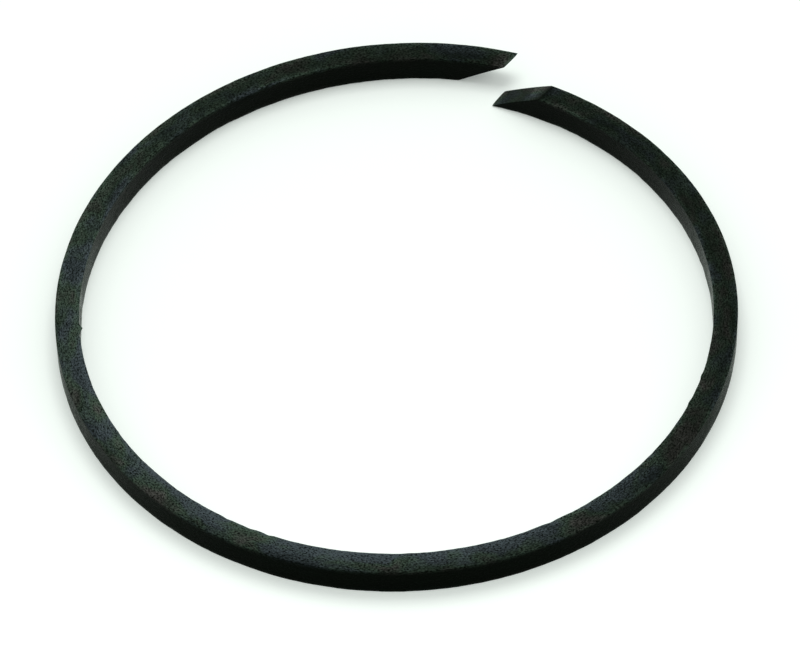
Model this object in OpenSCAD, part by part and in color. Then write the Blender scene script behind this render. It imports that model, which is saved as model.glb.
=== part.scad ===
// Split sealing ring for a groove on a shaft, lying free on its side.
// It is one strip of filled plastic, nearly square in section, and parted by one sloping scarf
// cut. A used ring doesn't spring back to a true circle. Here the half towards -Y is still
// round, and each end is an arc of its own that carries on smoothly from it: the outer end has
// opened and the inner end has closed, so that the two feathered tips pass side by side. The
// ends have warped a little too, so the two faces of the cut no longer have quite one slope.
// The origin is on the axis of the round half, in the plane of the lower side face.
// Angles are counterclockwise from +X, seen from above.

/* [Ring] */
// Outside diameter of the round half
outside_d = 56; // [45:0.5:80]
// Thickness of the strip, from its inner wall to its outer wall
wall = 2; // [1.4:0.05:3]
// Width of the strip along the axis, from side face to side face
width = 2.5; // [1.6:0.05:3.5]
// Radius of the strip's four long edges
edge_r = 0.28; // [0.05:0.01:0.5]

/* [Split] */
// Angle of the middle of the split
split_at = 69.7; // [60:0.1:90]
// How far the inner end's outer wall has closed inside the round, at the split
closed_by = 0.45; // [0.1:0.05:1.5]
// Radial gap between the two ends, at the split
end_gap = 0.4; // [0.2:0.05:1.5]
// How far each tip reaches past the middle of the split, along the ring
tip_pass = 0.55; // [-2:0.05:0.8]

/* [Scarf cut] */
// Angle between the outer end's cut and the side faces
outer_cut_slope = 34; // [25:1:60]
// Angle between the inner end's cut and the side faces
inner_cut_slope = 30; // [25:1:60]
// Turn of both cuts away from the radial direction
cut_skew = 20; // [0:1:25]
// Height of the blunt land at each feathered tip
tip_land = 0.06; // [0.04:0.01:0.2]

/* [Hidden] */
$fn = 360;
round_r = outside_d / 2;
// Where each end leaves the round half
outer_end_from = 180;
inner_end_from = 0;
// The outer end stands out by the gap and what the inner end leaves of the wall
open_by = wall + end_gap - closed_by;
pass_angle = tip_pass / round_r * 180 / PI;
// Side of a block that reaches well past the strip wherever a cut crosses it
cut_block = 8 * (wall + width);
strip_colour = [0.16, 0.175, 0.165];

// An end's arc has this much more radius than the round half, from the law of cosines. It
// leaves the round on a common tangent and stands "out" from it at the split. To a micron,
// so that the two meet exactly.
function extra_radius(out, from) =
    let (r = round_r + out)
    round(500 * (r * r - round_r * round_r) / (round_r - r * cos(split_at - from))) / 1000;

// The arc's centre lies across the axis from where the arc starts.
function end_centre(extra, from) = -extra * [cos(from), sin(from)];

// The point of the arc's outer wall at the angle "at" of the whole ring
function wall_point(extra, from, at) =
    (sqrt(pow(round_r + extra, 2) - pow(extra * sin(at - from), 2)) - extra * cos(at - from))
    * [cos(at), sin(at)];

// The angle of that point about the arc's own centre, to a hundredth of a degree, so that
// start and sweep add up exactly to where the arc meets the round half
function end_angle(extra, from, at) =
    let (arm = wall_point(extra, from, at) - end_centre(extra, from))
    round(100 * atan2(arm.y, arm.x)) / 100;

// Section of the strip with its outer wall at radius r
module section(r) {
    for (x = [r - wall + edge_r, r - edge_r], y = [edge_r, width - edge_r])
        translate([x, y]) circle(edge_r);
    translate([r - wall, edge_r]) square([wall, width - 2 * edge_r]);
    translate([r - wall + edge_r, 0]) square([wall - 2 * edge_r, width]);
}

// Strip with an outer radius r, between two angles about its own centre
module strip(r, first, last) {
    rotate_extrude(start = first, angle = last - first) section(r);
}

// All that lies above a cut's plane (side = 1) or below it (side = -1). The plane goes
// through the origin, where X points outwards and Y counterclockwise along the ring.
module beyond_cut(slope, side) {
    rotate([-slope, 0, -cut_skew])
        translate([-cut_block / 2, -cut_block / 2, side > 0 ? 0 : -cut_block]) cube(cut_block);
}

// The opened end. Its tip is at the top of the outer wall, and its cut faces down.
module outer_end() {
    extra = extra_radius(open_by, outer_end_from);
    tip = end_angle(extra, outer_end_from, split_at - pass_angle);
    translate(end_centre(extra, outer_end_from)) difference() {
        strip(round_r + extra, tip, outer_end_from);
        rotate(tip) translate([round_r + extra, 0, width - tip_land]) beyond_cut(outer_cut_slope, -1);
    }
}

// The closed end. Its tip is at the foot of the inner wall, and its cut faces up.
module inner_end() {
    extra = extra_radius(-closed_by, inner_end_from);
    tip = end_angle(extra, inner_end_from, split_at + pass_angle);
    translate(end_centre(extra, inner_end_from)) difference() {
        strip(round_r + extra, inner_end_from, tip);
        rotate(tip) translate([round_r + extra - wall, 0, tip_land]) beyond_cut(inner_cut_slope, 1);
    }
}

module seal_ring() {
    color(strip_colour) {
        strip(round_r, outer_end_from, inner_end_from + 360);
        outer_end();
        inner_end();
    }
}

seal_ring();
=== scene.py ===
# %% [markdown]
# # A split sealing ring
# The real thing is a ring of filled plastic that sat in a groove on a turning shaft and kept the oil
# on one side. It is one strip, nearly square in section, and one sloping scarf cut parts it, so that
# it can be sprung over the shaft. It lies on a pale table after use, and its ends no longer meet.
#
# The measured model is loaded first. It holds every size and place, and it is never changed. What
# this script adds is what a measured model leaves out: worn edges, small nicks, cut faces as a blade
# leaves them, the finish of the plastic, the light and the camera.

# %% Load the measured model
import math

import bpy
import numpy as np
from mathutils import Matrix, Vector
from mathutils.bvhtree import BVHTree


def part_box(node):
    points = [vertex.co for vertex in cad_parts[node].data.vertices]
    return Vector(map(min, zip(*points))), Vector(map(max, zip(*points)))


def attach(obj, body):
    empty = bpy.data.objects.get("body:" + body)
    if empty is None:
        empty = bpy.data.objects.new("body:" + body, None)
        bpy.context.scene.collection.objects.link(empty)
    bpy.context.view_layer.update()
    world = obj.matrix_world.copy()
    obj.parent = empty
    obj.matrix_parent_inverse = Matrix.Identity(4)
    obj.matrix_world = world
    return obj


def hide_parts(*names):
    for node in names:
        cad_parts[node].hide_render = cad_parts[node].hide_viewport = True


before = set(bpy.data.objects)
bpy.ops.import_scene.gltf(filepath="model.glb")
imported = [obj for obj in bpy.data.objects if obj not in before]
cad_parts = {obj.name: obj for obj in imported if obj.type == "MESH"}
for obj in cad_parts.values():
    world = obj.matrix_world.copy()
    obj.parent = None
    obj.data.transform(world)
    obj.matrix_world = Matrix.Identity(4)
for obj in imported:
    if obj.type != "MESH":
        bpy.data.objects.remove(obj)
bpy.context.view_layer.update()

MM = 0.001  # Blender works in metres, and the ring is worked out in millimetres
print("measured pieces:", sorted(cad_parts))

# %% [markdown]
# ## Sizes
# The box round the measured ring gives its width along the axis, the radius of its round half, and
# how far its opened end stands out. The strip's own sizes repeat the values that the measured model
# is drawn from. Only the long edges are sharper here, as they are on the real ring. A ring like this
# springs open or shut when it is taken out of its groove, so each end is drawn as an arc of its own
# that leaves the round half on a common tangent. The arc's centre then lies on the X axis, and one
# number says how much more radius it has than the round half.

# %% Sizes of the strip, in millimetres and degrees
low, high = (np.array(corner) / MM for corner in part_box("seal_ring"))
width = high[2] - low[2]
round_r = (high[0] - low[0]) / 2
opened_r = high[1] - round_r  # more radius at the opened end
wall = 2.0
edge_r = 0.08  # rounding of the strip's four long edges, before wear
crown = 0.02  # how far each side face falls from its middle to its edges
crown_power = 4  # how much of that fall is near the edges
closed_by = 0.45  # how far the closed end lies inside the round, at the split
split_at = 69.7  # angle of the split, counterclockwise from +X
tip_pass = 0.55  # how far each tip reaches past the split, along the ring
outer_cut_slope = 34.0  # between the opened end's cut and the side faces
inner_cut_slope = 30.0  # between the closed end's cut and the side faces
cut_skew = 20.0  # turn of both cuts away from the radial direction
tip_land = 0.06  # height of the blunt land at each tip


def extra_radius(out):
    """How much more radius an arc from angle 0 has, if it stands `out` of the round at the split.
    From the law of cosines: (r^2 - R^2) / (2 (R - r cos(split))), with r = R + out."""
    r = round_r + out
    return (r * r - round_r**2) / (2 * (round_r - r * math.cos(math.radians(split_at))))


def own_angle(extra, centre_x, at):
    """Angle, about an arc's own centre, of the point of its outer wall at the ring's angle `at`."""
    at = math.radians(at)
    reach = math.sqrt((round_r + extra) ** 2 - (centre_x * math.sin(at)) ** 2)
    reach += centre_x * math.cos(at)
    return math.degrees(math.atan2(reach * math.sin(at), reach * math.cos(at) - centre_x))


closed_r = extra_radius(-closed_by)
pass_angle = math.degrees(tip_pass / round_r)
first_tip = own_angle(opened_r, opened_r, split_at - pass_angle)
last_tip = own_angle(closed_r, -closed_r, split_at + pass_angle) + 360
print(f"round radius {round_r:.3f}, width {width:.3f}, arcs {opened_r:+.3f} and {closed_r:+.3f} mm")
print(f"the strip runs from {first_tip:.2f} to {last_tip:.2f} degrees")

# %% [markdown]
# ## The strip as a bundle of threads
# The shape could be made by sweeping a section along a curve and cutting the ends off with a
# boolean, but a boolean leaves long thin faces and no rounding at the cut. Instead the strip is
# thought of as a bundle of threads that run side by side round the ring. Each thread has a fixed
# place in the section, `out` from the strip's middle and up its `height`, and ends where the cut
# plane crosses it. The walls are the outermost threads, and the cut faces are the ends of them all.
# So one function of three numbers gives every point of the piece.


# %% A point of the strip
def strip_point(turn, out, height):
    """Point of the strip in space. `turn` is the angle in degrees about the centre of the arc that
    it is on: the opened end up to 180, the round half up to 360, then the closed end. The radius is
    the arc's own, less half the wall, plus `out`."""
    extra = np.where(turn < 180, opened_r, np.where(turn > 360, closed_r, 0.0))
    centre_x = np.where(turn < 180, opened_r, np.where(turn > 360, -closed_r, 0.0))
    radius = round_r + extra - wall / 2 + out
    angle = np.radians(turn)
    return np.stack([centre_x + radius * np.cos(angle), radius * np.sin(angle), height], -1)


nearest = strip_point(np.array(270.0), wall / 2, np.array(width))
print("nearest point of the outer wall's top:", nearest.round(3))


# %% [markdown]
# ## The section
# The section is a rectangle with rounded corners, walked round once. Each corner is a quarter circle
# about its own centre, and the flats between them are shared out evenly, finely enough to carry the
# wear that comes later. The same walk, drawn in by a distance, gives the rings that close the cut
# faces. A Bevel modifier could round a plain strip as well, but then the wear would have to come
# after it, on points whose order nobody knows.

# %% Walk round the section
corner_steps, flat_steps = 8, 9  # parts of each rounded corner, and of each flat


def section_walk(inset):
    """(out, height) of the points of the section's outline, drawn in by `inset`. A corner point is
    its corner's centre plus the radius, less the inset, along its own direction. A flat's points
    lie evenly between two corners. Each point then falls towards the strip's middle by `crown`
    times a power of its share of the way out times its share of the way up."""
    reach_out, reach_up = wall / 2 - edge_r, width / 2 - edge_r
    centres = np.array([[1, 1], [-1, 1], [-1, -1], [1, -1]]) * [reach_out, reach_up]
    quarter = np.radians(np.linspace(0, 90, corner_steps + 1))
    points = []
    for k in range(4):
        angle = quarter + k * math.pi / 2
        arc = centres[k] + (edge_r - inset) * np.stack([np.cos(angle), np.sin(angle)], -1)
        angle_next = (k + 1) * math.pi / 2
        start_next = centres[(k + 1) % 4] + (edge_r - inset) * np.array(
            [math.cos(angle_next), math.sin(angle_next)]
        )
        share = np.linspace(0, 1, flat_steps + 1)[1:-1, None]
        points += [arc, arc[-1] + share * (start_next - arc[-1])]
    out, up = np.concatenate(points).T
    fall = crown * np.abs(out / (wall / 2) * up / (width / 2)) ** crown_power
    return out, up - np.sign(up) * fall + width / 2


out_walk, height_walk = section_walk(0.0)
print(f"{len(out_walk)} points round the section")

# %% [markdown]
# ## Where each thread ends
# The scarf cut is a plane that slopes along the strip and is skewed across it. A thread at the tip's
# own corner reaches furthest, and every other thread stops short of it by a distance that grows with
# its depth below that corner and its distance across the wall. The very tip is left blunt, because a
# feather edge of plastic doesn't survive. A cut edge is never quite sharp either, so the threads near
# the outline stop shorter still, by a quarter circle.

# %% How far a thread stops short of the tip
rim_r = 0.05  # rounding of the cut's rim
outer_tip_r, inner_tip_r = 0.12, 0.3  # how softly each blunt land turns into its cut


def short_of_tip(out, height, from_rim, outer_end):
    """Degrees by which a thread ends before its tip. The cut plane crosses a thread of radius r
    where r sin(a) + s r cos(a) = s R + run * depth, with s the skew, R the tip's radius and `run`
    how far the cut runs back for each millimetre of depth. It never goes below 0, which it nears
    along a hyperbola, for the blunt land, and a quarter circle is added near the rim."""
    run = 1 / math.tan(math.radians(outer_cut_slope if outer_end else inner_cut_slope))
    run /= math.cos(math.radians(cut_skew))
    if outer_end:
        skew, depth = math.tan(math.radians(cut_skew)), width - tip_land - height
        tip_r = round_r + opened_r
        r = tip_r - wall / 2 + out
    else:
        skew, depth = -math.tan(math.radians(cut_skew)), height - tip_land
        tip_r = round_r + closed_r - wall
        r = tip_r + wall / 2 + out
    size = r * math.sqrt(1 + skew * skew)
    angle = np.arcsin((skew * tip_r + run * depth) / size) - math.atan(skew)
    plain = angle * r
    tip_round = outer_tip_r if outer_end else inner_tip_r
    soft = (plain + np.sqrt(plain**2 + tip_round**2)) / 2
    into_rim = np.clip(rim_r - from_rim, 0, rim_r)
    rim = rim_r - np.sqrt(rim_r**2 - into_rim**2)
    return np.degrees((soft + rim) / r)


reach = short_of_tip(out_walk, height_walk, 0.0, True)
print(f"along the opened end, the cut runs back {np.radians(reach.max()) * round_r:.2f} mm")

# %% [markdown]
# ## Wear and nicks
# The outer wall ran in a smooth bore, so its edges are nearly clean. The inner edges were prised at
# when the ring was fitted and taken out. They are uneven, with a few nicks, and one burr stands out
# beside a notch. All this is part of the shape and not only of the shading, because it shows in the
# outline. It could be sculpted by hand, but formulas come out the same on every run. The unevenness
# is a sum of sine waves of many lengths, and each nick is a smooth dip along the edge.

# %% Edges and nicks
edges = {  # edge: (out, height) of its corner, and how uneven it is, in millimetres
    "inner top": ((-wall / 2, width), 0.010),
    "inner foot": ((-wall / 2, 0.0), 0.012),
    "outer top": ((wall / 2, width), 0.006),
    "outer foot": ((wall / 2, 0.0), 0.008),
}
nicks = [  # edge, angle round the ring, length and depth in millimetres; a burr has depth below 0
    ("inner foot", 179.5, 3.0, -0.06),
    ("inner top", 184.0, 0.6, -0.26),
    ("inner top", 185.3, 0.6, 0.09),
    ("inner top", 238.0, 0.7, 0.04),
    ("inner top", 242.5, 0.8, 0.04),
    ("inner top", 246.0, 0.8, 0.04),
    ("inner top", 297.0, 1.0, 0.04),
    ("inner top", 334.4, 0.6, -0.06),
    ("inner top", 341.0, 0.6, -0.06),
    ("inner foot", 356.0, 1.8, 0.06),
    ("inner top", 120.0, 2.6, 0.06),
    ("inner top", 114.0, 1.6, -0.03),
    ("inner foot", 12.0, 1.2, 0.025),
]
print(f"{len(nicks)} nicks and burrs on {len(edges)} edges")

# %% How wear moves a point
wear_reach = 0.38  # how far from an edge its wear is felt
wave_lengths = np.geomspace(9.0, 0.6, 15)  # in millimetres


def uneven(along, seed):
    """A wavy line, mostly between -1 and 1: a sum of sine waves of all the lengths. Each has its
    own start, and is as tall as the root of its share of the lengths' sum."""
    rng = np.random.default_rng(seed)
    starts = rng.uniform(0, 2 * math.pi, len(wave_lengths))
    heights = np.sqrt(wave_lengths / wave_lengths.sum())
    waves = np.sin(2 * math.pi * along[..., None] / wave_lengths + starts)
    return (waves * heights).sum(-1)


def worn(turn, out, height):
    """(out, height) after wear. Near each corner, a point moves towards the strip's middle by the
    edge's unevenness and by its nicks, and less by a bell curve of its distance. A nick falls off
    along the edge by a bell curve too. A burr only stands out sideways."""
    along = np.radians(turn) * round_r
    new_out, new_height = out.copy(), height.copy()
    for seed, (edge, ((corner_out, corner_height), amount)) in enumerate(edges.items()):
        away = np.hypot(out - corner_out, height - corner_height)
        near = np.exp(-((away / wear_reach) ** 2))
        loss = amount * np.maximum(1 + uneven(along, seed), 0)
        for name, at, length, depth in nicks:
            if name == edge:
                turn_at = at if at > split_at else at + 360
                gap = (along - math.radians(turn_at) * round_r) / length
                loss = loss + depth * np.exp(-((2 * gap) ** 2))
        new_out -= near * loss * np.sign(corner_out)
        lift = np.sign(corner_height - width / 2)
        new_height -= near * np.maximum(loss, 0) * lift
    return new_out, new_height


near_burr = np.array([183.0, 184.0, 185.3])  # before the burr, on it, and in the notch beside it
moved = worn(near_burr, np.full(3, -wall / 2), np.full(3, width))[0] + wall / 2
print("outward move of the inner top edge at", near_burr, "degrees:", moved.round(3))

# %% [markdown]
# ## The mesh
# The walls are a grid: once round the section, and in small steps along the ring. Near each end the
# steps lean over little by little until the last one lies in the cut. Each cut face is closed by
# smaller and smaller copies of the outline, the first few over the rounded rim, down to one point.
# One large face would close it too, but it couldn't be rounded at the rim or carry any wear.

# %% Points of the walls
steps_along = 1200
lean_over = 32.0  # degrees of ring over which the steps lean into the cut
base = np.linspace(first_tip, last_tip, steps_along + 1)[:, None]


def fading(share):
    """1 at the end of the strip, and smoothly down to 0 where the lean begins."""
    share = np.clip(share, 0, 1)
    return (1 - share) ** 2 * (1 + 2 * share)


def grid_turns(out, height):
    """The angle of every wall point: even steps, plus what its thread stops short at each end."""
    at_first = short_of_tip(out, height, 0.0, True) * fading((base - first_tip) / lean_over)
    at_last = short_of_tip(out, height, 0.0, False) * fading((last_tip - base) / lean_over)
    return base + at_first - at_last


turns = grid_turns(out_walk, height_walk)
outs, heights = (np.broadcast_to(a, turns.shape) for a in (out_walk, height_walk))
print(f"{steps_along} steps of {np.diff(base[:, 0])[0] * math.radians(1) * round_r:.2f} mm")

# %% Points of the cut faces
rim_rings = rim_r * (1 - np.cos(np.radians([30, 60, 90])))  # insets over the rounded rim
face_rings = np.linspace(1, 0, 9)[1:-1]  # sizes of the copies inside it
past_rim = 1.0  # a distance from the rim at which its rounding no longer counts


def cap_threads(outer_end):
    """(turn, out, height) of the rings that close one end, from the rim to the middle point."""
    tip, sign = (first_tip, 1) if outer_end else (last_tip, -1)
    middle = width / 2
    rows = []
    for inset in rim_rings:
        out, height = section_walk(inset)
        rows.append((out, height, np.full_like(out, inset)))
    out, height, inset = rows[-1]
    inside = np.full_like(out, past_rim)
    for share in face_rings:
        rows.append((out * share, middle + (height - middle) * share, inside))
    rows.append((np.zeros(1), np.full(1, middle), np.full(1, past_rim)))
    out, height, inset = (np.concatenate(column) for column in zip(*rows))
    return tip + sign * short_of_tip(out, height, inset, outer_end), out, height


caps = [cap_threads(True), cap_threads(False)]
print(f"{len(caps[0][0])} points on each cut face")

# %% Faces
def ring_faces(first, second, count, flip):
    """Four-sided faces between two rings of `count` points whose numbers start at these two."""
    here = np.arange(count)
    after = (here + 1) % count
    faces = np.stack([first + here, first + after, second + after, second + here], -1)
    return faces[:, ::-1] if flip else faces


count = len(out_walk)
wall_points = turns.size
rows_in_cap = len(rim_rings) + len(face_rings)
quads = [ring_faces(k * count, (k + 1) * count, count, True) for k in range(steps_along)]
wall_quads = len(quads) * count
triangles = []
for number, last_ring in enumerate((0, steps_along * count)):
    start = wall_points + number * len(caps[0][0])
    flip = number == 1
    rings = [last_ring] + [start + k * count for k in range(rows_in_cap)]
    quads += [ring_faces(a, b, count, flip) for a, b in zip(rings, rings[1:])]
    here = np.arange(count)
    fan = np.stack([rings[-1] + here, rings[-1] + (here + 1) % count,
                    np.full(count, start + rows_in_cap * count)], -1)
    triangles.append(fan[:, ::-1] if flip else fan)
quads, triangles = np.concatenate(quads), np.concatenate(triangles)
print(f"{len(quads)} faces of four sides and {len(triangles)} triangles")


# %% Put the mesh in
def put_in(mesh, points, quads, triangles):
    """Fills a mesh with arrays of points, four-sided faces and triangles, in that order."""
    corners = np.concatenate([quads.ravel(), triangles.ravel()]).astype(np.int32)
    sizes = np.concatenate([np.full(len(quads), 4), np.full(len(triangles), 3)])
    starts = np.concatenate([[0], np.cumsum(sizes)[:-1]]).astype(np.int32)
    mesh.vertices.add(len(points))
    mesh.vertices.foreach_set("co", points.astype(np.float32).ravel())
    mesh.loops.add(len(corners))
    mesh.loops.foreach_set("vertex_index", corners)
    mesh.polygons.add(len(sizes))
    mesh.polygons.foreach_set("loop_start", starts)
    mesh.update(calc_edges=True)
    mesh.polygons.foreach_set("use_smooth", np.ones(len(sizes), bool))
    mesh.validate()


all_turns = np.concatenate([turns.ravel()] + [cap[0] for cap in caps])
all_outs = np.concatenate([outs.ravel()] + [cap[1] for cap in caps])
all_heights = np.concatenate([heights.ravel()] + [cap[2] for cap in caps])
worn_outs, worn_heights = worn(all_turns, all_outs, all_heights)
points = strip_point(all_turns, worn_outs, worn_heights)

mesh = bpy.data.meshes.new("worn_ring")
put_in(mesh, points * MM, quads, triangles)
ring = bpy.data.objects.new("worn_ring", mesh)
bpy.context.collection.objects.link(ring)


def volume_of(points, quads, triangles):
    """Volume inside a closed mesh: the sum over its triangles of a . (b x c) / 6."""
    tris = np.concatenate([quads[:, [0, 1, 2]], quads[:, [0, 2, 3]], triangles])
    a, b, c = (points[tris[:, k]] for k in range(3))
    return (a * np.cross(b, c)).sum() / 6


print(f"volume {volume_of(points, quads, triangles):.1f} mm3, {len(mesh.polygons)} faces")

# %% [markdown]
# The new surface should stay close to the measured one. Every new point is dropped onto the
# measured surface, and the largest distance should be about as far as the burr stands out.

# %% Compare with the measured surface
cad_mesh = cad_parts["seal_ring"].data
surface = BVHTree.FromPolygons([v.co for v in cad_mesh.vertices],
                               [p.vertices for p in cad_mesh.polygons])
away = np.array([surface.find_nearest(v.co)[3] for v in mesh.vertices]) / MM
print(f"from the measured surface: at most {away.max():.3f} mm, typically {np.median(away):.4f} mm")

# %% [markdown]
# ## Coordinates that follow the strip
# The finish follows the strip and not the world's axes. So each point carries its own place on the
# strip, as length along the ring, distance out and height, in millimetres.
#
# It also carries one share for wear and painted light together. The two walls are smooth and black.
# The side faces ran against the walls of the groove, and that left them matt and grey. Painted light
# lies on that grey. A painted highlight makes it palest towards the edge that faces the back, the
# inner edge in front and the outer edge at the back, and a painted pool of light makes it stronger
# on the front left half. Painted highlights lie on the inner edge at both sides, a little stronger
# the further left it lies, and on the outer edge at the right side. Two pale streaks lie along the
# inner edge, and the one at the back left is a painted highlight. The ends rubbed on each other, so
# their thin tips are pale, and so is a streak beside the heel of the closed end's cut, where the
# other tip lay. The heel's own corner kept its black.
#
# All this could be painted by hand on the mesh. Formulas of the angle and of the place in the
# section say it in a few numbers, and each number can be changed on its own.

# %% How much the side faces were rubbed, with the painted light on them, along and across
least_rub, painted_pool_of_light = 0.12, 0.456  # on the far half, and how much more the painted pool of light adds on the front left half
lit_side = 230.0  # angle round the ring of the middle of the painted pool of light
lit_half, lit_soft = 73.0, 18.0  # degrees from there to its end, and how soft that end is
over_edge = 0.12  # how far over a rounded edge the grey reaches
backlit_across, backlit_edge, edge_power = 0.66, 0.30, 7  # painted highlight towards the back: growth across the strip, and near its edge
lean_power = 0.7  # below 1, so that nearly all of the front and the back has that growth
side_edge_highlight = 0.272  # painted highlight at the sides, on the inner edge and on the right half's outer edge
inner_reach, outer_reach = 0.22, 0.10  # how far in from each edge the side's paleness goes
left_edge_highlight, left_reach = 0.16, 0.45  # painted highlight on the inner edge at the left, and how far in
back_edge_highlight, back_reach = 0.096, 0.25  # painted highlight on the outer edge at the back, and how far in
# pale streaks on the inner edge; the one at 114.5 degrees is a painted highlight
inner_streak_rub = 0.34
pale_inner_streaks = [(114.5, 11.0), (416.0, 6.5)]  # angle and half length, in degrees, on the inner edges


def faces_rub_and_painted_light(turn, out, height):
    """(rub, side): the rubbing of the side faces with the painted light on them, and how far a point
    counts as side face. Round the ring the rub is a logistic step from the painted pool of light on
    the front left half to the far one. Across the strip it grows by an exponential, outwards at the
    back and inwards in front, a painted highlight on the edge that faces the back. Exponentials of
    the distance from each edge are added as painted edge highlights, and a pale streak is also a bell
    curve along its edge."""
    below = width / 2 - np.abs(height - width / 2)
    side = np.exp(-np.maximum(below - crown, 0) / over_edge)
    sideways, lean = np.cos(np.radians(turn)), np.sin(np.radians(turn))
    from_lit_side = np.degrees(np.arccos(np.cos(np.radians(turn - lit_side))))
    # painted pool of light: the front left half is paler
    level = least_rub + painted_pool_of_light / (1 + np.exp((from_lit_side - lit_half) / lit_soft))
    across = out / (wall / 2) * np.sign(lean) * np.abs(lean) ** lean_power
    # painted highlight: paler towards the edge that faces the back
    even = level * np.exp(backlit_across * across + backlit_edge * across**edge_power)
    from_inner, from_outer = wall / 2 + out, wall / 2 - out
    # painted highlights on the edges, and the pale streaks along the inner edge
    inner = side_edge_highlight * sideways**4 * np.exp(-from_inner / inner_reach)
    inner += left_edge_highlight * (1 - sideways) / 2 * np.exp(-from_inner / left_reach)
    for at, half_length in pale_inner_streaks:
        bell = np.exp(-(((turn - at) / half_length) ** 2))
        inner += inner_streak_rub * bell * np.exp(-from_inner / inner_reach)
    outer = side_edge_highlight * np.maximum(sideways, 0) * np.exp(-from_outer / outer_reach)
    outer += back_edge_highlight * np.maximum(lean, 0) * np.exp(-from_outer / back_reach)
    return even + inner + outer, side


most, least = faces_rub_and_painted_light(np.array([lit_side, lit_side - 180]), np.zeros(2), width)[0]
print(f"rub in the middle of a side face: from {least:.2f} to {most:.2f}")


# %% How much the ends were rubbed
cut_rub = 0.136  # all over the cut faces
opened_tip_rub, opened_tip_reach = 0.72, 0.35
closed_tip_rub, closed_tip_reach = 0.40, 0.8
streak_rub, streak_lean = 0.32, 0.272  # in the middle of the wall, and how much more on its outside
streak_at, streak_half = 1.05, 0.50  # how far the streak is from the heel, and half its breadth
heel_black, heel_reach = 0.8, 0.30


def ends_rub(turn, out, side):
    """(more, kept): what the ends' wear adds to the rubbed share, and what it leaves of the rest.
    The tips fall off by exponentials of the distance along the ring, from the opened end's top edge
    and from the closed end's tip. The streak and the heel fall off by bell curves of the distance
    from the top edge of the closed end's cut."""
    edge_first = first_tip + short_of_tip(out, width, rim_r, True)
    edge_last = last_tip - short_of_tip(out, width, rim_r, False)
    from_first = np.maximum(np.radians(turn - edge_first) * round_r, 0)
    past_heel = np.radians(turn - edge_last) * round_r
    from_last = np.maximum(np.radians(last_tip - turn) * round_r, 0)
    opened_tip = opened_tip_rub * np.exp(-from_first / opened_tip_reach)
    closed_tip = closed_tip_rub * np.exp(-from_last / closed_tip_reach)
    streak = streak_rub + streak_lean * out / (wall / 2)
    streak = streak * np.exp(-(((past_heel - streak_at) / streak_half) ** 2))
    kept = 1 - heel_black * np.exp(-((past_heel / heel_reach) ** 2))
    on_cut = np.arange(len(turn)) >= wall_points
    more = np.where(on_cut, cut_rub * kept + opened_tip + closed_tip + streak, side * opened_tip)
    return more, kept


print(f"the pale streak lies {streak_at} mm past the heel, all across the cut")

# %% Attributes of the points
strip_place = np.stack([np.radians(all_turns) * round_r, all_outs, all_heights - width / 2], -1)
mesh.attributes.new("strip_place", "FLOAT_VECTOR", "POINT").data.foreach_set(
    "vector", strip_place.astype(np.float32).ravel())
rub_and_painted_light, side = faces_rub_and_painted_light(all_turns, all_outs, all_heights)
more, kept = ends_rub(all_turns, all_outs, side)
# one share of wear and painted light: the grey of the side faces, the painted pool of light and
# painted highlights, and the ends' wear
rubbed_and_painted_light = side * rub_and_painted_light * kept + more
mesh.attributes.new("rubbed_and_painted_light", "FLOAT", "POINT").data.foreach_set(
    "value", rubbed_and_painted_light.astype(np.float32))
print(f"rubbed from {rubbed_and_painted_light.min():.2f} to {rubbed_and_painted_light.max():.2f}")

# %% [markdown]
# ## The finish
# The plastic is a dull charcoal, made dark by the graphite and carbon in it, with a faint green cast.
# It reflects very little when it is looked at squarely and more at a glancing angle, which a low
# index of refraction and a faint sheen give. Three things vary over it. Soft patches about two
# millimetres long make the grey paler and darker. Longer ones turn it bluish, greenish or
# brownish. A fine grain from the filler breaks it up, and makes it rougher and smoother. Where the
# share of wear and painted light is higher, the grey is bluer.
#
# A picture could carry all this, but it would be blurred in a close view and stretched by the bend
# of the strip. Noise textures in the strip's own millimetres stay sharp and follow it round.
#
# The moulded faces and the cut faces share the patches and the grain, so these are one node group.
# Each material stretches them along the strip as much as its own surface was worn that way.

# %% Nodes in one line each
def add_node(tree, kind, links=None, **settings):
    """Adds a node, sets its properties and unlinked sockets, and links others to it."""
    node = tree.nodes.new(kind)
    for key, value in settings.items():
        setattr(node, key, value)
    for socket, value in (links or {}).items():
        if isinstance(value, bpy.types.NodeSocket):
            tree.links.new(value, node.inputs[socket])
        else:
            node.inputs[socket].default_value = value
    return node


def noise_at(tree, place, scale, detail, roughness, distortion=0.0):
    """Adds a noise texture at a place in millimetres, and returns its value. The scale is how many
    of its largest features go into a millimetre."""
    links = {"Vector": place, "Scale": scale, "Detail": detail, "Roughness": roughness,
             "Distortion": distortion}
    return add_node(tree, "ShaderNodeTexNoise", links).outputs[0]


# %% The filled plastic's grain, as a node group
patch_shift, cast_shift = (23.0, 8.0, 1.0), (17.0, 5.0, 2.0)  # where in the noise each one lies
patch_noise = {"scale": 0.85, "detail": 5.0, "roughness": 0.6, "distortion": 0.7}
cast_noise = {"scale": 0.50, "detail": 2.0, "roughness": 0.5, "distortion": 0.3}
grain_noise = {"scale": 9.5, "detail": 2.0, "roughness": 0.6}

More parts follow.
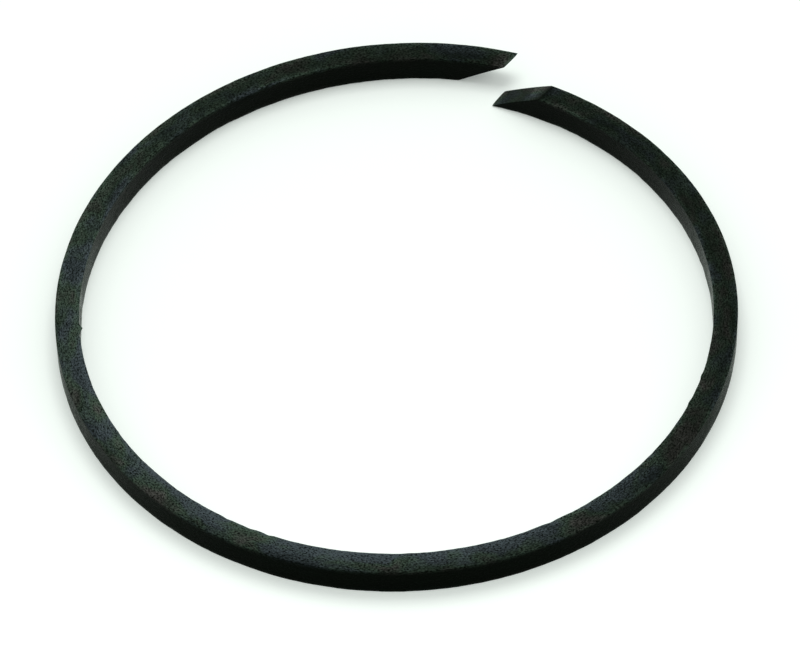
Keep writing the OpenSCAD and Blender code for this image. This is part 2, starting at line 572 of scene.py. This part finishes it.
grain = bpy.data.node_groups.new("plastic_grain", "ShaderNodeTree")
for name, kind in (("Place", "NodeSocketVector"), ("Stretch", "NodeSocketFloat")):
    grain.interface.new_socket(name, in_out="INPUT", socket_type=kind)
for name in ("Patches", "Cast", "Grain"):
    grain.interface.new_socket(name, in_out="OUTPUT", socket_type="NodeSocketFloat")
entering = add_node(grain, "NodeGroupInput")
stretch = add_node(grain, "ShaderNodeCombineXYZ",
                   {"X": entering.outputs["Stretch"], "Y": 1.0, "Z": 1.0})
place = add_node(grain, "ShaderNodeVectorMath",
                 {0: entering.outputs["Place"], 1: stretch.outputs[0]},
                 operation="MULTIPLY").outputs[0]
patch_place, cast_place = (
    add_node(grain, "ShaderNodeVectorMath", {0: place, 1: shift}, operation="ADD").outputs[0]
    for shift in (patch_shift, cast_shift)
)
add_node(grain, "NodeGroupOutput", {
    "Patches": noise_at(grain, patch_place, **patch_noise),
    "Cast": noise_at(grain, cast_place, **cast_noise),
    "Grain": noise_at(grain, place, **grain_noise),
})
print("node group:", grain.name, [s.name for s in grain.interface.items_tree])

# %% The colours, and how much each thing varies them
black = (0.0007, 0.0018, 0.0006, 1.0)
greys = {  # where on the cast each grey lies, and its colour
    0.31: (0.0581, 0.0769, 0.0831, 1.0),  # bluish
    0.45: (0.0544, 0.0862, 0.0606, 1.0),  # greenish
    0.59: (0.0738, 0.0762, 0.0675, 1.0),  # brownish
}
bluer_with_rub_and_light = 0.212  # how far on the cast a point lies towards the bluish grey when its share of wear and painted light is full
least_rubbed = 0.0064  # the share of grey that even a wall has
patch_range, grain_range = (0.3, 0.7), (0.36, 0.64)  # where nearly all of each noise lies
patch_strength, grain_strength = (0.58, 1.42), (0.0, 2.0)  # what each one multiplies the grey by
roughness = (0.14, 0.38)  # where the grain is lowest and highest, before the patches
bump_height = 0.00004  # in metres
sheen_weight, sheen_roughness, sheen_tint = 0.05, 0.3, (0.5, 1.0, 0.6, 1.0)
first_colour, second_colour, mixed = 6, 7, 2  # a Mix node's own sockets for colours
print("greys:", {at: colour[:3] for at, colour in greys.items()})


# %% Nodes that reckon
def math_of(tree, operation, *values):
    """Adds a Math node on one to three values or sockets, and returns its output."""
    return add_node(tree, "ShaderNodeMath", dict(enumerate(values)), operation=operation).outputs[0]


def from_to(tree, value, source, target, **settings):
    """Adds a Map Range node that takes the pair `source` to the pair `target`, and returns its
    output."""
    links = {"Value": value, "From Min": source[0], "From Max": source[1],
             "To Min": target[0], "To Max": target[1]}
    return add_node(tree, "ShaderNodeMapRange", links, **settings).outputs[0]


# %% The materials
def plastic(name, ior, stretch, bump):
    """A material for the filled plastic. Its colour goes from black to grey with the point's share of
    wear and painted light, times its patches and its grain. The grey is picked by the cast, less a
    part of that share. The roughness goes with the grain, times the patches."""
    material = bpy.data.materials.new(name)
    material.use_nodes = True
    tree = material.node_tree
    tree.nodes.clear()
    place = add_node(tree, "ShaderNodeAttribute", attribute_name="strip_place")
    rub_and_painted_light = add_node(tree, "ShaderNodeAttribute", attribute_name="rubbed_and_painted_light").outputs["Fac"]
    vary = add_node(tree, "ShaderNodeGroup", node_tree=grain)
    tree.links.new(place.outputs["Vector"], vary.inputs["Place"])
    vary.inputs["Stretch"].default_value = stretch
    cloudy = from_to(tree, vary.outputs["Patches"], patch_range, patch_strength)
    grainy = from_to(tree, vary.outputs["Grain"], grain_range, grain_strength)
    patchy_rub_and_painted_light = math_of(tree, "MULTIPLY", math_of(tree, "MAXIMUM", rub_and_painted_light, least_rubbed), cloudy)
    share = math_of(tree, "MULTIPLY", patchy_rub_and_painted_light, grainy)
    share.node.use_clamp = True
    cast = math_of(tree, "MULTIPLY_ADD", rub_and_painted_light, -bluer_with_rub_and_light, vary.outputs["Cast"])
    grey = add_node(tree, "ShaderNodeValToRGB", {"Fac": cast})
    grey.color_ramp.elements.new(0.5)
    for stop, (at, tint) in zip(grey.color_ramp.elements, greys.items()):
        stop.position, stop.color = at, tint
    colour = add_node(tree, "ShaderNodeMix",
                      {"Factor": share, first_colour: black, second_colour: grey.outputs["Color"]},
                      data_type="RGBA").outputs[mixed]
    rough = from_to(tree, vary.outputs["Grain"], grain_range, roughness)
    relief = add_node(tree, "ShaderNodeBump", {"Height": vary.outputs["Grain"], "Strength": bump,
                                               "Distance": bump_height})
    shader = add_node(tree, "ShaderNodeBsdfPrincipled", {
        "Base Color": colour,
        "IOR": ior,
        "Roughness": math_of(tree, "MULTIPLY", rough, cloudy),
        "Sheen Weight": sheen_weight,
        "Sheen Roughness": sheen_roughness,
        "Sheen Tint": sheen_tint,
        "Normal": relief.outputs[0],
    })
    add_node(tree, "ShaderNodeOutputMaterial", {"Surface": shader.outputs[0]})
    return material


# the wall towards the bore is a little glossier than the rest
mesh.materials.append(plastic("worn_plastic_and_painted_light", ior=1.045, stretch=0.55, bump=1.0))
mesh.materials.append(plastic("bore_plastic", ior=1.075, stretch=0.55, bump=1.0))
mesh.materials.append(plastic("cut_plastic", ior=1.05, stretch=1.0, bump=0.6))
print("materials:", [material.name for material in mesh.materials])

# %% Faces of each material
worn_face, bore_face, cut_face = range(3)  # in the order in which the materials were added
at_bore = np.isclose(outs[:-1], -wall / 2)
on_bore = at_bore & np.roll(at_bore, -1, axis=1)
face_material = np.full(len(mesh.polygons), cut_face, np.int32)
face_material[:wall_quads] = np.where(on_bore, bore_face, worn_face).ravel()
mesh.polygons.foreach_set("material_index", face_material)
print("faces of each material:", np.bincount(face_material))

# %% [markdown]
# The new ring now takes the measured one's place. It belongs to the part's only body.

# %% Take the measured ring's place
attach(ring, "root")
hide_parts("seal_ring")
print(ring.name, "replaces", "seal_ring")

# %% [markdown]
# ## Lamp and sky
# Black plastic shows its shape by soft gloss and by its shadow. Small lamps would put hard bright
# spots on its edges, so there is one large soft lamp. It hangs above the ring and a little behind
# it, and the shadow falls softly to the front and inside the back. The sky fills the rest. It is
# dimmer in front, so that the near wall stays black. Whatever the sky's light, the camera and glossy
# things see it as plain white.

# %% Lamp
lamp_at, lamp_sides = (0.0, 0.070, 0.200), (0.120, 0.120)  # in metres
lamp_radiance = 3.7  # how bright its face is
lamp_area = lamp_sides[0] * lamp_sides[1]

lamp_data = bpy.data.lights.new("soft_box", "AREA")
lamp_data.shape = "RECTANGLE"
lamp_data.size, lamp_data.size_y = lamp_sides
lamp_data.energy = lamp_radiance * math.pi * lamp_area
lamp = bpy.data.objects.new("soft_box", lamp_data)
lamp.location = lamp_at
lamp.visible_camera = False
bpy.context.collection.objects.link(lamp)
print(f"lamp of {lamp_data.energy:.3f} W")


# %% Sky
sky_front, sky_back = 0.40, 1.00  # its light from in front of the ring and from behind
sky_seen = 1.0  # what the camera sees of it


def seen_directly(tree):
    """1 for rays from the camera, from something glossy or through glass, and 0 for light."""
    path = add_node(tree, "ShaderNodeLightPath")
    seen = math_of(tree, "MAXIMUM", path.outputs["Is Camera Ray"], path.outputs["Is Glossy Ray"])
    return math_of(tree, "MAXIMUM", seen, path.outputs["Is Transmission Ray"])


def y_of(tree, place):
    """The Y part of a place or a direction."""
    return add_node(tree, "ShaderNodeSeparateXYZ", {0: place}).outputs["Y"]


sky = bpy.data.worlds.new("sky")
bpy.context.scene.world = sky
sky.use_nodes = True
tree = sky.node_tree
tree.nodes.clear()
towards = add_node(tree, "ShaderNodeTexCoord").outputs["Generated"]
light = from_to(tree, y_of(tree, towards), (-1.0, 1.0), (sky_front, sky_back),
                interpolation_type="SMOOTHSTEP")
level = from_to(tree, seen_directly(tree), (0.0, 1.0), (light, sky_seen))
white = add_node(tree, "ShaderNodeBackground", {"Color": (1, 1, 1, 1), "Strength": level})
add_node(tree, "ShaderNodeOutputWorld", {"Surface": white.outputs[0]})
print("sky from", sky_front, "in front to", sky_back, "at the back")

# %% [markdown]
# ## Table
# The table is pale with a faint green cast, which shows only where the ring's shadow dims it. The
# lamp lights it unevenly, and a plain white ground was wanted. More light would do that, but it
# would turn the ring grey too. So the material works out how bright each point is, from the lamp's
# distance and the sky, and lets it glow by what is still missing. Only the camera and glossy things
# see that glow, and the shadow stays in it.
#
# The table has no underside, so that the ring can be looked at from below.

# %% Table
half_table = 3.0  # in metres, like the height
floor_z = -0.00002  # a hair under the ring, so that the two surfaces never coincide
table_seen = 0.81  # share of the light that it throws back
table_tint = (0.93, 1.0, 0.95)
wanted_front, wanted_back = 1.21, 1.115  # brightness wanted at the front, and from the middle back
front_y = -0.035  # where the front begins

corners = [(-half_table, -half_table), (half_table, -half_table),
           (half_table, half_table), (-half_table, half_table)]
table_mesh = bpy.data.meshes.new("table")
table_mesh.from_pydata([(x, y, floor_z) for x, y in corners], [], [(0, 1, 2, 3)])
table = bpy.data.objects.new("table", table_mesh)
bpy.context.collection.objects.link(table)
print("table at", floor_z / MM, "mm")


# %% The table's material
def lit_table(tree, place):
    """How bright the lamp and the sky make a point of the table. A small lamp that faces down gives
    radiance * area * height^2 / (pi * distance^4), and the sky gives its mean."""
    gap = add_node(tree, "ShaderNodeVectorMath", {0: place, 1: lamp_at}, operation="DISTANCE")
    fall = math_of(tree, "POWER", gap.outputs["Value"], -4.0)
    from_lamp = lamp_radiance * lamp_area * lamp_at[2] ** 2 / math.pi
    return math_of(tree, "MULTIPLY_ADD", fall, from_lamp, (sky_front + sky_back) / 2)


pale = bpy.data.materials.new("pale_table")
pale.use_nodes = True
tree = pale.node_tree
tree.nodes.clear()
place = add_node(tree, "ShaderNodeTexCoord").outputs["Object"]
wanted = from_to(tree, y_of(tree, place), (front_y, 0.0), (wanted_front, wanted_back),
                 interpolation_type="SMOOTHSTEP")
missing = math_of(tree, "MULTIPLY_ADD", lit_table(tree, place), -table_seen, wanted)
missing.node.use_clamp = True
glow_level = math_of(tree, "MULTIPLY", seen_directly(tree), missing)
table_colour = [table_seen * tint for tint in table_tint]
matt = add_node(tree, "ShaderNodeBsdfDiffuse", {"Color": (*table_colour, 1.0)})
glow = add_node(tree, "ShaderNodeEmission", {"Color": (*table_tint, 1.0), "Strength": glow_level})
both = add_node(tree, "ShaderNodeAddShader", {0: matt.outputs[0], 1: glow.outputs[0]})
underside = add_node(tree, "ShaderNodeNewGeometry").outputs["Backfacing"]
clear = add_node(tree, "ShaderNodeBsdfTransparent")
either = add_node(tree, "ShaderNodeMixShader",
                  {0: underside, 1: both.outputs[0], 2: clear.outputs[0]})
add_node(tree, "ShaderNodeOutputMaterial", {"Surface": either.outputs[0]})
table_mesh.materials.append(pale)
print("table's material:", pale.name)

# %% [markdown]
# ## Camera
# The camera looks down at the ring from the front, at nearly fifty degrees, with a long lens. It
# could be placed by hand and pointed by a constraint, but a distance along the line of sight from
# the ring's centre says the same in two numbers. A small roll tilts the picture, and the small
# shift puts the ring a little off the middle.

# %% Camera
elevation, roll = math.radians(49.30), math.radians(-1.37)
distance = 448.0  # from the ring's centre, in millimetres
centre = Vector((0, 0, width / 2))
back_dir = Vector((0, -math.cos(elevation), math.sin(elevation)))
right_dir = Vector((1, 0, 0))
up_dir = back_dir.cross(right_dir)
right_turned = math.cos(roll) * right_dir + math.sin(roll) * up_dir
up_turned = -math.sin(roll) * right_dir + math.cos(roll) * up_dir

camera_data = bpy.data.cameras.new("camera")
camera_data.sensor_width = 36.0
camera_data.lens = 245.34
camera_data.shift_x, camera_data.shift_y = 0.0045, -0.0115
camera_data.clip_start, camera_data.clip_end = 0.01, 20.0
camera = bpy.data.objects.new("camera", camera_data)
turned = Matrix((right_turned, up_turned, back_dir)).transposed().to_4x4()
camera.matrix_world = Matrix.Translation((centre + distance * back_dir) * MM) @ turned
bpy.context.collection.objects.link(camera)
bpy.context.scene.camera = camera

bpy.context.scene.view_settings.view_transform = "Standard"
print("camera at", [round(x / MM, 1) for x in camera.location], "mm")
